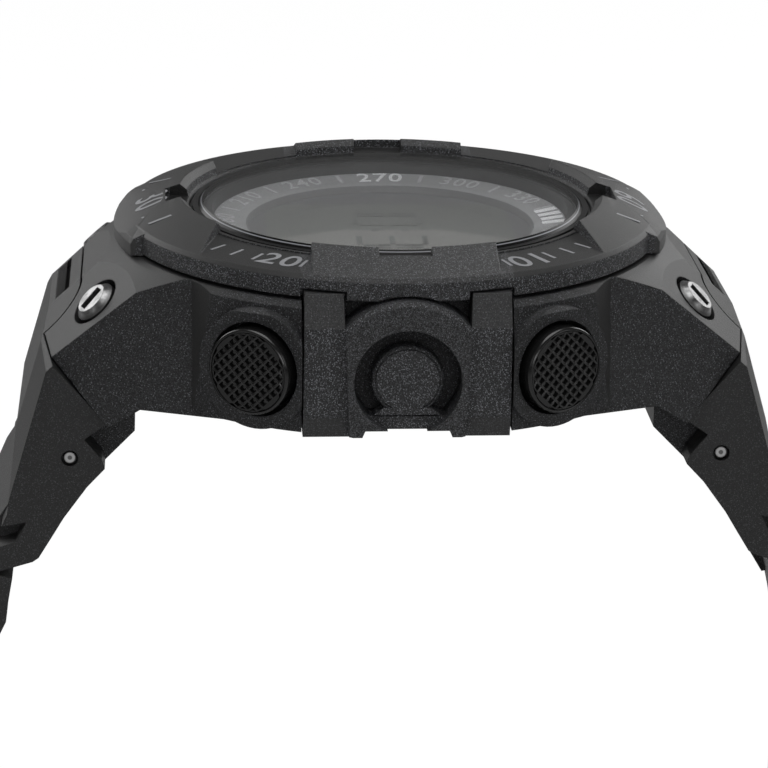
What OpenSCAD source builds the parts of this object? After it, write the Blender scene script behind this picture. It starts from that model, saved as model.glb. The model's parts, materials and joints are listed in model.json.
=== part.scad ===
// Digital sports watch: a faceted resin case with four side pushers and a guarded centre button,
// a raised ring bezel, and a resin strap in two halves, shown unbuckled.
// Millimetres. Z = 0 is the flat of the case back, +Z points out of the dial, +Y to 12 o'clock
// and +X to 3 o'clock. The YZ profiles are drawn for the 12 o'clock side and mirrored for 6 o'clock.

/* [Head] */
// Height from the flat of the case back to the top of the crystal
head_h = 15.3; // [15.1:0.1:16.5]
// How far the crystal's edge lies inside the bezel's side wall
crystal_in = 6.4; // [6:0.1:6.9]
// Thickness of the crystal
crystal_t = 2.1; // [1.8:0.1:2.3]
// Radial width of the gasket round the crystal
gasket_w = 0.5; // [0.4:0.05:0.7]
// Wall of the neck that holds the crystal
neck_wall = 1.1; // [0.9:0.1:1.3]

/* [Bezel] */
// Radius of the bezel's side wall
bezel_r = 22.9; // [22.6:0.1:23.4]
// Height of the bezel's side wall
bezel_wall_h = 1.8; // [1.4:0.1:2]
// How far the four lobes rise above the pockets between them
lobe_rise = 1.05; // [0.6:0.05:1.3]
// How far the 12 and 6 o'clock lobes reach past the side wall
lobe_reach = 0.85; // [0.6:0.05:1.2]
// Half width of the 3 and 9 o'clock lobes
lobe_side_half = 7.5; // [6.8:0.1:8]
// Half width of the reach of the 12 and 6 o'clock lobes
lobe_end_half = 8.4; // [7.6:0.1:8.8]
// Width of the notch in the ridge of each lobe
notch_w = 4.3; // [3:0.1:5]

/* [Case] */
// Thickness of the case back, and height of the case's lower face
back_t = 1.5; // [1.3:0.1:1.6]
// Height of the seat under the bezel
seat_z = 12.6; // [12.4:0.05:12.7]
// How far the wall of the module cavity lies inside the bezel's side wall
cavity_in = 6.3; // [6:0.1:6.5]
// How far the flats behind the button guard lie inside the bezel's side wall
flat_in = 2.1; // [1.7:0.1:2.4]
// How far the round body behind the pushers stands out past the bezel's side wall
pod_out = 1.5; // [1.2:0.1:1.7]
// Distance from the centre line to the crease beside each pusher
crease_y = 17.2; // [16.8:0.1:17.8]
// Radius of the silver studs on the shoulders
stud_r = 1.9; // [1.6:0.1:2.2]

/* [Buttons] */
// Direction of the pushers, measured from the 3 to 9 o'clock line
pusher_az = 29.8; // [29:0.2:30.4]
// Height of the pusher axes
pusher_z = 6.9; // [6.8:0.1:7.3]
// Radius of the pusher caps
pusher_r = 3.6; // [3:0.1:3.7]
// How far the pusher faces stand out past the bezel's side wall
pusher_out = 2.9; // [2.7:0.1:3.3]
// Height of the centre button's axis
centre_z = 6.4; // [6.3:0.1:6.6]
// Radius of the centre button
centre_r = 2.9; // [2.5:0.1:3]
// How far the centre button's face stands out past the bezel's side wall
centre_out = 0.3; // [0.1:0.1:0.6]
// Travel of every button
travel = 0.9; // [0.6:0.1:1]
// Radius of the button stems
stem_r = 0.9; // [0.8:0.05:1]

/* [Strap] */
// Distance of the strap pins from the centre
pin_y = 27.4; // [27.2:0.1:27.6]
// Height of the strap pins
pin_z = -3.4; // [-3.5:0.1:-3.3]
// Radius of the strap pin barrels
pin_r = 0.75; // [0.65:0.05:0.9]
// Radius of the tips of the strap pins
tip_r = 0.5; // [0.4:0.05:0.55]
// Width over the strap's ears
ear_w = 27; // [26:0.5:29]
// Width of the case lug between the ears
lug_w = 20.8; // [20:0.2:21]
// Width of the strap band near the case
band_w = 22; // [21:0.5:22.5]
// Width of the strap band near its end
band_end_w = 19.6; // [18:0.2:20]
// Thickness of the strap band
band_t = 3; // [2.6:0.1:3.2]
// Straight length of the short half, where the keeper slides
short_run = 22; // [20:1:28]
// Sweep of the curved end of the long half
long_turn = 90; // [70:1:94]
// Number of adjustment holes
hole_count = 11; // [5:1:12]
// Spacing of the adjustment holes
hole_step = 6; // [5:0.5:6.5]

/* [Buckle] */
// Radius of the buckle bar
bar_r = 0.75; // [0.6:0.05:0.9]
// Thickness of the buckle frame
frame_t = 2.2; // [1.8:0.1:2.6]
// Width of the frame's arms and of its end bar
arm_w = 2; // [1.6:0.1:2.6]
// Length of the frame from the bar to its outer end
frame_len = 11; // [10:0.5:13]
// Width of the tongue
tongue_w = 2.6; // [2:0.1:3.2]
// Length of the keeper along the strap
keeper_len = 6; // [4:0.5:8]

/* [Hidden] */
$fn = 64;

seat_gap = 0.15;
run_gap = 0.05;
swing_gap = 0.4;
side_gap = 0.3;

pin = [pin_y, pin_z];
lug_r = 2.9;
hood_r = 4.8;
outer_n = 16.5;
shoulder_p = [25.2, 11];
shoulder_n = 47.1;
tongue_top = 26.5;
flap_half = 8;
parting_a = [pin_y + 1.5, pin_z + 8.6];
parting_b = [pin_y - 3.25, pin_z + 3.1];
parting_n = -40.8;

flat_x = bezel_r - flat_in;
pod_r = bezel_r + pod_out;
pusher_face = bezel_r + pusher_out;
centre_face = bezel_r + centre_out;
facet_p = [bezel_r - 7.6, crease_y, seat_z - 0.8];

crystal_r = bezel_r - crystal_in;
cavity_r = bezel_r - cavity_in;
bore_r = crystal_r + gasket_w;
neck_r = bore_r + neck_wall;
crystal_z = head_h - crystal_t;
ledge_z = crystal_z - 0.2;
lcd_bore_r = min(cavity_r - 0.7, bore_r - 0.4);
cone_slope = 0.6;
bezel_z = seat_z + 0.3;
bezel_top = bezel_z + bezel_wall_h;
neck_top = min(head_h - 0.7, bezel_top - 0.1);
dome_r = 18;
dome_y = bezel_r - 9.7;
dome_z = bezel_top - 15.9;

spot_x = cavity_r + 0.05;
clip_t = 0.35;
clip_r = 1.5;
stem_end = cavity_r - 1.4;
pocket_x = cavity_r + 2.4;
pocket_r = 2.3;
recess_r = pusher_r + 0.35;
collar_r = recess_r + 1.05;
collar_x = pusher_face - 1;
cap_t = 2.3;
recess_x = pusher_face - cap_t - travel - 0.2;
centre_t = 1.3;
coil_r = 1.75;
wire_r = 0.22;

board_z = 4.6;
board_t = 0.8;
board_r = cavity_r - 1.7;
module_r = lcd_bore_r - 0.2;
dial_in = lcd_bore_r - 3.5;
film_r = module_r - 3.7;
connector_y = film_r - 1.95;
connector_t = 1.1;
connector_half = sqrt(pow(module_r, 2) - pow(connector_y + connector_t + 0.1, 2)) - 1.5;
lcd_z = 9.4;
lcd_t = 1.5;
contact_x = stem_end - travel - 0.3;
plate_z = 0.8;
plate_r = cavity_r + 4.15;
screw_p = (cavity_r + 2.35) / sqrt(2);
cell_r = 10;
cell_t = 1.6;
cell_z = back_t + 0.75;
clip_reach = cell_r + 4;
clip_w = 5;
stud_at = 10;
stud_deep = 1.1;
stud_edge = 0.5;
stud_gap = 0.4;

bend_r = 44;
bend_y = 39.2;
bend_z = -34;
bend_turn = 38;
drop = 10;
short_r = 20;
short_turn = 45;
long_r = 50;
keeper_at = 12;
loop_room = 3.6;
loop_wall = 1.5;
bar_eye = bar_r + 1.35;
taper_z = bend_z - 22;
guard_top = seat_z + 0.8;
rib_in = 5.2;
rib_low = 4.55;
rib_out = 8.4;
rib_x = bezel_r + 0.4;
arch_r = 6.7;
arch_x = rib_x + 0.2;
shelf_z = back_t + 0.85;
foot_top = 0.6 - centre_r;
foot_low = shelf_z + 1.15 - centre_z;
foot_in = centre_r - 0.95;
foot_out = centre_r - 0.15;
peg = [6.3, 10.8];
peg_r = 0.8;
guard_half = rib_out + 0.1;
pod_low = back_t + 0.5;
slot_w = 9;
hole_r = 1.35;
first_hole = 14;
tip_turn_r = band_end_w / 2 + 1.2;

function u(a) = [cos(a), sin(a)];
function across(p, n, q, m) = let(d = p * u(n), e = q * u(m))
    [(d * sin(m) - e * sin(n)) / sin(m - n), (e * cos(n) - d * cos(m)) / sin(m - n)];

hood_p = pin + hood_r * u(outer_n);
crest = across(shoulder_p, shoulder_n, hood_p, outer_n);
flap_end = [tongue_top, shoulder_p.y - (tongue_top - shoulder_p.x) / tan(shoulder_n)];
flap_t = hood_r - lug_r - swing_gap;
up_slope = [-sin(shoulder_n), cos(shoulder_n)];

drop_z = bend_z - drop;
short_c = [bend_y - short_r, drop_z];
short_p = short_c + short_r * u(-short_turn);
short_dir = u(-short_turn - 90);
bar_c = short_p + (short_run + 1) * short_dir;
long_c = [bend_y - long_r, drop_z];

module both_x() {
    children();
    mirror([1, 0, 0]) children();
}

module both_y() {
    children();
    mirror([0, 1, 0]) children();
}

module along_x(w) {
    rotate([90, 0, 90]) linear_extrude(w, center = true) children();
}

module ring(r1, r2, z1, z2) {
    translate([0, 0, z1]) difference() {
        cylinder(h = z2 - z1, r = r2, $fn = 128);
        translate([0, 0, -1]) cylinder(h = z2 - z1 + 2, r = r1, $fn = 128);
    }
}

// Everything on the outer side of a plane through p whose normal has this azimuth and elevation.
module beyond(p, az, el, s = 60) {
    translate(p) rotate([0, -el, az]) translate([0, -s, -s]) cube([s, 2 * s, 2 * s]);
}

// Turns local +X to a button's direction at its height.
module aim(az, z) {
    translate([0, 0, z]) rotate([0, 0, az]) children();
}

// A round bar on the local X axis from x1 to x2, with its seam off the level and the upright.
module rod(r, x1, x2) {
    taper(r, r, x1, x2);
}

module taper(r1, r2, x1, x2) {
    translate([x1, 0, 0]) rotate([0, 90, 0]) rotate(27) cylinder(h = x2 - x1, r1 = r1, r2 = r2);
}

// Coil spring as one unbroken wire, round the local X axis from x1 to x2.
module coil(x1, x2, turns, steps = 12, sides = 6) {
    n = turns * steps;
    lead = (x2 - x1 - 2 * wire_r) / n;
    pts = [for (i = [0:n], k = [0:sides - 1]) let(a = 360 * i / steps, b = 360 * k / sides,
        q = coil_r + wire_r * cos(b))
        [x1 + wire_r + lead * i + wire_r * sin(b), q * cos(a), q * sin(a)]];
    quads = [for (i = [0:n - 1], k = [0:sides - 1]) let(a = i * sides + k,
        b = i * sides + (k + 1) % sides) each [[a, a + sides, b], [b, a + sides, b + sides]]];
    caps = [for (k = [1:sides - 2]) each [[0, k, k + 1],
        [n * sides, n * sides + k + 1, n * sides + k]]];
    polyhedron(points = pts, faces = concat(quads, caps), convexity = 4);
}

module shaft_cuts(az, z, x_out) {
    aim(az, z) {
        rod(stem_r + run_gap, stem_end - 1, pocket_x + 1);
        rod(clip_r + 0.6, stem_end - 1, spot_x);
        rod(stem_r + 0.75, cavity_r + 0.7, cavity_r + 1.7);
        rod(pocket_r, pocket_x, x_out);
    }
}

// Takes off what lies outside the sloping shoulder at 2 o'clock.
module shoulder_cut() {
    beyond([5, shoulder_p.x, shoulder_p.y], 68.8, 45.1);
}

// Profiles in the YZ plane, for the 12 o'clock side.
module lug_2d() {
    a = pin + lug_r * u(outer_n);
    s = shoulder_p - (flap_t + seat_gap) * u(shoulder_n);
    polygon([[0, back_t], [pin_y - 5.4, back_t], [pin_y - 5.4, pin_z + 1.36],
        pin + lug_r * u(223), pin, a, across(s, shoulder_n, a, outer_n),
        s + (seat_z - s.y) / cos(shoulder_n) * up_slope, [0, seat_z]]);
    translate(pin) circle(r = lug_r);
}

module wing_2d() {
    dir = (parting_a - parting_b) / norm(parting_a - parting_b);
    top = parting_a + dir * (seat_z - parting_a.y) / dir.y;
    polygon([[0, back_t], [pin_y - 5.9, back_t], parting_b, top, [0, seat_z]]);
}

module mirrored_2d() {
    children();
    mirror([1, 0]) children();
}

// The strap's flap that lies in the shoulder, grown by g on its hidden sides.
module flap_2d(g = 0) {
    t = flap_t + g;
    e = flap_end - g * [sin(shoulder_n), -cos(shoulder_n)];
    in_a = e - t * u(shoulder_n);
    low = hood_p - (flap_t - 0.12) * u(outer_n);
    in_b = across(shoulder_p - t * u(shoulder_n), shoulder_n, low, outer_n);
    out = g > 0 ? 3 : 0;
    polygon([e + out * u(shoulder_n), crest + out * u(shoulder_n), crest + out * u(outer_n),
        hood_p + [out, 0], low, in_b, in_a]);
}

// Outline of the flap seen square to the shoulder, grown by g.
module flap_plan(g = 0) {
    translate([0, 0, -40]) linear_extrude(80) union() {
        translate([-flap_half - g, tongue_top + 2.6]) square([2 * (flap_half + g), 12]);
        both_x() translate([flap_half - 2.6, tongue_top + 2.6]) circle(r = 2.6 + g);
        translate([-flap_half + 2.6, tongue_top - g]) square([2 * (flap_half - 2.6), 3 + g]);
    }
}

module ear_2d() {
    g = seat_gap * u(parting_n);
    top = across(parting_a + g, parting_n, hood_p, outer_n);
    rim = [[-2.65, -0.1], [-2.9, -0.95], [-1.4, -2.55], [0.6, -5.3], [1.65, -7.05],
        [2.75, -8.85], [3.25, -9.2], [6, -10], [8.3, -10.4], [8.3, -8.6], [5.95, -7.8],
        [4.6, -7.4], [3.3, -4.8], [3.55, -4], [4.75, -0.95], [4.75, 0.2]];
    polygon(concat([hood_p, top, parting_b + g, pin + [-1.22, 1.65]], [for (p = rim) pin + p]));
}

// Outer shell of the strap's end, below the case's parting line.
module hood_2d() {
    g = seat_gap * u(parting_n);
    top = across(parting_a + g, parting_n, hood_p, outer_n);
    low = across(parting_a + g, parting_n, hood_p - flap_t * u(outer_n), outer_n);
    polygon([top, low, pin + (hood_r - flap_t) * u(outer_n), pin + 3.6 * u(-50),
        pin + [2.2, -5.4], pin + [5.8, -6], pin + [5.3, -4.9], pin + [4.75, 0.2], hood_p]);
}

module arc_2d(c, r, a1, a2, t_in, t_out) {
    intersection() {
        translate(c) difference() {
            circle(r = r + t_out, $fn = 180);
            circle(r = r - t_in, $fn = 180);
        }
        m = (a1 + a2) / 2;
        h = (a1 - a2) / 2;
        polygon([c, c + 90 * u(a1), c + 90 / cos(h / 2) * u(m + h / 2), c + 90 * u(m),
            c + 90 / cos(h / 2) * u(m - h / 2), c + 90 * u(a2)]);
    }
}

module run_2d(p, dir, len, t_in, t_out) {
    n = [-dir.y, dir.x];
    polygon([p + t_out * n, p + t_out * n + len * dir, p - t_in * n + len * dir, p - t_in * n]);
}

module band_start_2d() {
    difference() {
        union() {
            arc_2d([bend_y - bend_r, bend_z], bend_r, bend_turn, 0, band_t / 2, band_t / 2);
            run_2d([bend_y, bend_z], [0, -1], drop, band_t / 2, band_t / 2);
        }
        translate(pin) circle(r = lug_r + swing_gap);
    }
}

// Second pair of side flanges, a link further down the band.
module flange_2d() {
    polygon([for (q = [[5, -10.7], [5.45, -13.2], [5.6, -14.6], [6.8, -17.1], [8.6, -20.1],
        [11.2, -19.6], [10.4, -16.6], [9.1, -12.6], [8, -9.8]]) pin + q]);
}

module band_width() {
    a = band_w / 2;
    b = band_end_w / 2;
    rotate([90, 0, 0]) linear_extrude(240, center = true)
        polygon([[-a, 20], [a, 20], [a, bend_z], [b, taper_z], [b, -120], [-b, -120], [-b, taper_z],
            [-a, bend_z]]);
}

// What both halves of the strap share near the case.
module strap_root() {
    difference() {
        union() {
            intersection() {
                along_x(2 * flap_half + 2) flap_2d();
                flap_plan();
            }
            along_x(ear_w) hood_2d();
            both_x() translate([(lug_w / 2 + side_gap + ear_w / 2) / 2, 0, 0])
                along_x(ear_w / 2 - lug_w / 2 - side_gap) ear_2d();
            intersection() {
                along_x(band_w) band_start_2d();
                band_width();
            }
            both_x() translate([(band_w / 2 - 0.8 + ear_w / 2) / 2, 0, 0])
                along_x(ear_w / 2 - band_w / 2 + 0.8) flange_2d();
        }
        along_x(lug_w + 2 * side_gap) translate(pin) circle(r = lug_r + swing_gap);
        both_x() beyond([flap_half + 0.5, hood_p.x, hood_p.y], 79.3, 16);
        both_x() shoulder_cut();
        along_x(slot_w) polygon([crest + 0.8 * up_slope, crest + 2.4 * up_slope,
            crest + 2.4 * up_slope - 0.5 * u(shoulder_n), crest + 0.8 * up_slope - 0.5 * u(shoulder_n)]);
        translate([0, pin_y, pin_z]) {
            rod(tip_r + run_gap, -ear_w / 2 - 1, ear_w / 2 + 1);
            both_x() rod(tip_r + 0.2, ear_w / 2 - 0.7, ear_w / 2 + 1);
        }
    }
}

module case_blank() {
    difference() {
        along_x(2 * flat_x) mirrored_2d() wing_2d();
        both_x() both_y() beyond(facet_p, 20.3, 9.2);
    }
    along_x(lug_w) mirrored_2d() lug_2d();
    for (az = [pusher_az, -pusher_az, 180 - pusher_az, 180 + pusher_az])
        aim(az, pusher_z) rod(collar_r, cavity_r - 1, collar_x);
    both_x() both_y() difference() {
        intersection() {
            translate([12, guard_half, pod_low]) cube([pod_r, crease_y - guard_half, seat_z - pod_low]);
            translate([0, 0, pod_low]) cylinder(h = seat_z - pod_low, r1 = pod_r, r2 = pod_r - 0.6, $fn = 128);
        }
        beyond(facet_p, 60, 5.8);
    }
}

module case_shell() {
    cone_r = 45;
    cone_z = seat_z + 0.15 - cone_slope * (cone_r - bezel_r);
    difference() {
        intersection() {
            case_blank();
            union() {
                translate([0, 0, -40]) cylinder(h = 40 + cone_z, r = cone_r, $fn = 180);
                translate([0, 0, cone_z]) cylinder(h = cone_slope * (cone_r - bezel_r + 3),
                    r1 = cone_r, r2 = bezel_r - 3, $fn = 180);
            }
        }
        both_y() beyond([0, shoulder_p.x, shoulder_p.y], 90, shoulder_n);
        both_x() both_y() shoulder_cut();
    }
}

module case_body() {
    color([0.16, 0.16, 0.17]) difference() {
        union() {
            case_shell();
            translate([0, 0, seat_z - 2]) cylinder(h = neck_top - seat_z + 2, r = neck_r, $fn = 128);
        }
        both_y() intersection() {
            along_x(2 * flap_half + 2) flap_2d(seat_gap);
            flap_plan(seat_gap);
        }
        both_x() translate([flat_x, -guard_half, back_t - 3]) cube([20, 2 * guard_half, 20]);
        translate([0, 0, back_t - 10]) cylinder(h = 10 + 9 - back_t, r = cavity_r, $fn = 128);
        translate([0, 0, 5]) cylinder(h = 20, r = lcd_bore_r, $fn = 128);
        translate([0, 0, ledge_z]) cylinder(h = 10, r = bore_r, $fn = 128);
        for (az = [pusher_az, -pusher_az, 180 - pusher_az, 180 + pusher_az]) {
            shaft_cuts(az, pusher_z, pod_r + 3);
            aim(az, pusher_z) rod(recess_r, recess_x, pod_r + 3);
        }
        shaft_cuts(0, centre_z, flat_x + 1);
        both_y() translate([0, peg.x, peg.y]) rod(peg_r, flat_x - 2, flat_x + 1);
        both_y() translate([0, pin_y, pin_z]) rod(pin_r + run_gap, -lug_w, lug_w);
        ring(cavity_r + 0.4, cavity_r + 1.3, back_t - 1, back_t + 0.7);
        both_x() both_y() translate([screw_p, screw_p, back_t - 1]) cylinder(h = 4.2, r = 0.55);
        studs() cylinder(h = 5, r = stud_r + stud_gap);
        lobe_reach_solid(seat_gap);
    }
}

// Puts its children on the four shoulders, at the floor of the stud recesses.
module studs() {
    both_x() both_y() translate([stud_at, shoulder_p.x, shoulder_p.y - 1.8])
        rotate([0, 90 - 45.1, 68.8]) translate([0, 0, -stud_deep]) children();
}

module case_studs() {
    color([0.78, 0.78, 0.8]) studs() difference() {
        union() {
            cylinder(h = stud_deep, r = stud_r);
            translate([0, 0, stud_deep]) cylinder(h = stud_edge, r1 = stud_r, r2 = stud_r - stud_edge);
        }
        translate([-stud_r * 0.55, -0.45, stud_deep]) cube([stud_r * 1.1, 0.9, 2]);
    }
}

module crown_guard() {
    color([0.17, 0.17, 0.18]) difference() {
        union() {
            both_y() intersection() {
                rotate([90, 0, 0]) linear_extrude(20, center = true)
                    polygon([[flat_x, back_t], [rib_x - 0.7, back_t], [rib_x, 3.6],
                        [rib_x, guard_top - 2.6], [rib_x - 1.1, guard_top], [flat_x, guard_top]]);
                translate([15, 0, 0]) rotate([90, 0, 90]) linear_extrude(15)
                    polygon([[rib_low, 0], [rib_out, 0], [rib_out - 0.1, 14], [rib_in, 14]]);
            }
            intersection() {
                translate([0, 0, centre_z]) {
                    rod(arch_r, flat_x, arch_x);
                    taper(arch_r, arch_r - 0.35, arch_x, arch_x + 0.35);
                }
                translate([15, 0, 0]) rotate([90, 0, 90]) linear_extrude(15)
                    polygon([[-rib_low - 0.15, back_t + 0.3], [rib_low + 0.15, back_t + 0.3],
                        [rib_in, 14], [-rib_in, 14]]);
            }
        }
        translate([0, 0, centre_z]) rod(centre_r + 1.45, flat_x - 1, 30);
        translate([15, 0, 0]) rotate([90, 0, 90]) linear_extrude(15)
            polygon([[-4.4, 0], [4.4, 0], [3.4, shelf_z], [-3.4, shelf_z]]);
        for (az = [pusher_az, -pusher_az]) aim(az, pusher_z) rod(recess_r, recess_x, 30);
    }
    color([0.17, 0.17, 0.18]) {
        translate([flat_x, -3.9, shelf_z]) cube([2.2, 7.8, 1]);
        both_y() translate([0, peg.x, peg.y]) rod(peg_r - 0.02, flat_x - 1.9, flat_x + 0.5);
    }
}

module bezel_ridge() {
    // Raised ridge of the lobes, above the pocket floor.
    rotate_extrude($fn = 180) polygon([[bezel_r - 0.4, bezel_top - 0.6], [bezel_r - 0.4, bezel_top],
        [neck_r + 0.1, bezel_top + 0.35 + lobe_rise], [neck_r - 0.5, bezel_top + lobe_rise - 0.15],
        [neck_r - 0.7, bezel_top], [neck_r + 0.3, bezel_top - 0.02], [neck_r + 1, bezel_top - 0.3]]);
}

// The part of the 12 and 6 o'clock lobes that reaches past the side wall, grown by g below.
module lobe_reach_solid(g = 0) {
    low = bezel_z - 0.2 - g;
    intersection() {
        rotate_extrude($fn = 180) polygon([[bezel_r - 3, bezel_z - g], [bezel_r, low],
            [bezel_r + lobe_reach + g, low], [bezel_r + lobe_reach + g, bezel_top - 1],
            [bezel_r + lobe_reach - 0.25, bezel_top - 0.55], [bezel_r - 0.6, bezel_top + 0.05],
            [bezel_r - 3, bezel_top + 0.55]]);
        translate([-lobe_end_half - g, -bezel_r - 8, 0])
            cube([2 * (lobe_end_half + g), 2 * (bezel_r + 8), 30]);
    }
}

module bezel() {
    color([0.2, 0.2, 0.21]) difference() {
        union() {
            rotate_extrude($fn = 180) polygon([[neck_r + seat_gap, seat_z], [neck_r + 3.4, seat_z],
                [neck_r + 3.4, bezel_z], [bezel_r, bezel_z], [bezel_r - 0.08, bezel_top - 0.35],
                [bezel_r - 0.4, bezel_top], [neck_r - 0.7, bezel_top + 0.3], [neck_r - 0.9, bezel_top - 0.05],
                [neck_r + seat_gap, bezel_top - 0.05]]);
            lobe_reach_solid();
            intersection() {
                bezel_ridge();
                union() {
                    translate([-30, -lobe_side_half, 0]) cube([60, 2 * lobe_side_half, 30]);
                    both_y() linear_extrude(30) polygon([[0, 10], [8.6, 14.4], [10.2, 15.1],
                        [16.1, 16.8], [20, 30], [-20, 30], [-16.1, 16.8], [-10.2, 15.1], [-8.6, 14.4]]);
                }
            }
        }
        for (a = [0:90:270]) rotate(a) translate([0, -notch_w / 2, bezel_top + 0.3])
            cube([neck_r + 1.2, notch_w, 5]);
        both_x() {
            both_y() translate([flat_x - 0.2, rib_in - 0.3, seat_z - 1])
                cube([9, rib_out - rib_in + 0.5, guard_top + 0.2 - seat_z + 1]);
            translate([0, 0, centre_z]) rod(arch_r + 0.25, flat_x - 0.2, 30);
        }
        // The domed fall of the 12 and 6 o'clock lobes towards the strap.
        both_y() difference() {
            translate([-30, bezel_r - 4.6, bezel_z]) cube([60, 12, 12]);
            translate([0, dome_y, dome_z]) rod(dome_r, -31, 31, $fn = 180);
        }
    }
}

module crystal() {
    color([0.75, 0.8, 0.85, 0.35]) translate([0, 0, crystal_z]) {
        cylinder(h = crystal_t - 0.4, r = crystal_r, $fn = 128);
        translate([0, 0, crystal_t - 0.4]) cylinder(h = 0.4, r1 = crystal_r, r2 = crystal_r - 0.4, $fn = 128);
    }
}

module crystal_gasket() {
    color([0.05, 0.05, 0.05]) {
        ring(crystal_r, bore_r, ledge_z, head_h - 0.35);
        ring(lcd_bore_r + 0.1, bore_r, ledge_z, crystal_z);
    }
}

module dial_ring() {
    color([0.1, 0.1, 0.11]) rotate_extrude($fn = 128) polygon([[dial_in, lcd_z + lcd_t],
        [lcd_bore_r - 0.1, lcd_z + lcd_t], [lcd_bore_r - 0.1, ledge_z],
        [lcd_bore_r - 0.6, ledge_z], [lcd_bore_r - 0.7, ledge_z - 1], [dial_in, ledge_z - 1.4]]);
}

module lcd_panel() {
    color([0.45, 0.47, 0.43]) translate([0, 0, lcd_z])
        cylinder(h = lcd_t, r = module_r, $fn = 96);
}

module lcd_backlight() {
    color([0.75, 0.85, 0.8]) translate([0, 0, lcd_z - 0.4]) cylinder(h = 0.4, r = film_r, $fn = 96);
}

// Clear ways for the five button stems and their clips.
module stem_ways(from) {
    for (az = [pusher_az, -pusher_az, 180 - pusher_az, 180 + pusher_az])
        aim(az, pusher_z) translate([from, -2, -2.2]) cube([20, 4, 4.4]);
    aim(0, centre_z) translate([from, -2, -2.2]) cube([20, 4, 4.4]);
}

module lcd_frame() {
    color([0.85, 0.85, 0.82]) difference() {
        translate([0, 0, board_z + board_t])
            cylinder(h = lcd_z - board_z - board_t, r = module_r, $fn = 96);
        translate([0, 0, lcd_z - 0.4]) cylinder(h = 2, r = film_r + 0.05, $fn = 96);
        stem_ways(contact_x - 0.5);
        both_y() translate([-connector_half - 0.1, connector_y, board_z])
            cube([2 * connector_half + 0.2, connector_t + 0.1, 20]);
    }
}

module lcd_connectors() {
    color([0.9, 0.55, 0.6]) both_y() translate([-connector_half, connector_y + 0.05, board_z + board_t])
        cube([2 * connector_half, connector_t, lcd_z - board_z - board_t - 0.4]);
}

module circuit_board() {
    color([0.1, 0.35, 0.2]) difference() {
        translate([0, 0, board_z]) cylinder(h = board_t, r = board_r, $fn = 96);
        translate([contact_x + 0.6, -2, board_z - 1]) cube([9, 4, 3]);
    }
}

module switch_contacts() {
    color([0.8, 0.65, 0.3]) {
        for (az = [pusher_az, -pusher_az, 180 - pusher_az, 180 + pusher_az])
            aim(az, board_z + board_t) translate([contact_x, -1.4, 0]) cube([0.2, 2.8, 3]);
        translate([contact_x, -1.4, board_z + board_t]) cube([0.2, 2.8, 2.4]);
    }
}

module module_housing() {
    color([0.3, 0.3, 0.32]) difference() {
        translate([0, 0, cell_z]) cylinder(h = board_z - cell_z, r = module_r + 0.3, $fn = 96);
        translate([0, 0, cell_z - 1]) cylinder(h = cell_t + 1, r = cell_r + 0.1);
        stem_ways(contact_x + 0.6);
    }
}

module battery() {
    color([0.7, 0.7, 0.72]) translate([0, 0, cell_z]) {
        cylinder(h = cell_t - 0.3, r = cell_r);
        translate([0, 0, cell_t - 0.3]) cylinder(h = 0.3, r = cell_r - 1);
    }
}

module battery_clip() {
    color([0.85, 0.75, 0.45]) translate([0, 0, cell_z - 0.2]) difference() {
        translate([-clip_reach, -clip_w / 2, 0]) cube([2 * clip_reach, clip_w, 0.2]);
        both_x() translate([clip_reach - 1.6, 0, -1]) cylinder(h = 3, r = 0.7);
    }
}

module buzzer() {
    color([0.8, 0.7, 0.4]) translate([0, 0, back_t]) cylinder(h = 0.25, r = cell_r - 0.5);
}

module case_back() {
    color([0.6, 0.6, 0.62]) difference() {
        union() {
            translate([0, 0, plate_z]) intersection() {
                cylinder(h = back_t - plate_z, r = plate_r, $fn = 128);
                cube([2 * cavity_r + 2.6, 2 * cavity_r + 2.6, 5], center = true);
            }
            cylinder(h = plate_z + 0.01, r = cavity_r - 1.2, $fn = 128);
        }
        both_x() both_y() translate([screw_p, screw_p, plate_z]) {
            translate([0, 0, -1]) cylinder(h = 5, r = 0.75);
            cylinder(h = 0.5, r1 = 1.25, r2 = 0.75);
            translate([0, 0, -1]) cylinder(h = 1, r = 1.25);
        }
    }
}

module case_back_gasket() {
    color([0.08, 0.08, 0.08]) ring(cavity_r + 0.45, cavity_r + 1.25, back_t, back_t + 0.65);
}

module case_back_screws() {
    color([0.7, 0.7, 0.72]) both_x() both_y() translate([screw_p, screw_p, plate_z]) difference() {
        union() {
            translate([0, 0, 0.03]) cylinder(h = 0.45, r1 = 1.15, r2 = 0.7);
            cylinder(h = 3.2, r = 0.5);
        }
        translate([-0.15, -1, -1]) cube([0.3, 2, 1.2]);
        translate([-1, -0.15, -1]) cube([2, 0.3, 1.2]);
    }
}

module strap_pin() {
    color([0.75, 0.75, 0.77]) translate([0, pin_y, pin_z]) {
        rod(pin_r, -lug_w / 2 + 0.05, lug_w / 2 - 0.05);
        rod(tip_r, -ear_w / 2 + 0.25, ear_w / 2 - 0.25);
    }
}

module strap_pin_12() {
    strap_pin();
}

module strap_pin_6() {
    mirror([0, 1, 0]) strap_pin();
}

module pusher(az) {
    color([0.05, 0.05, 0.055]) aim(az, pusher_z) difference() {
        union() {
            rod(pusher_r, pusher_face - cap_t, pusher_face - 0.4);
            taper(pusher_r, pusher_r - 0.35, pusher_face - 0.4, pusher_face);
            rod(stem_r, stem_end, pusher_face - cap_t + 1);
        }
        difference() {
            rod(stem_r + 1, spot_x - 0.05 - clip_t - 0.02, spot_x - 0.03);
            rod(stem_r - 0.25, stem_end, spot_x + 1);
        }
    }
}

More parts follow.
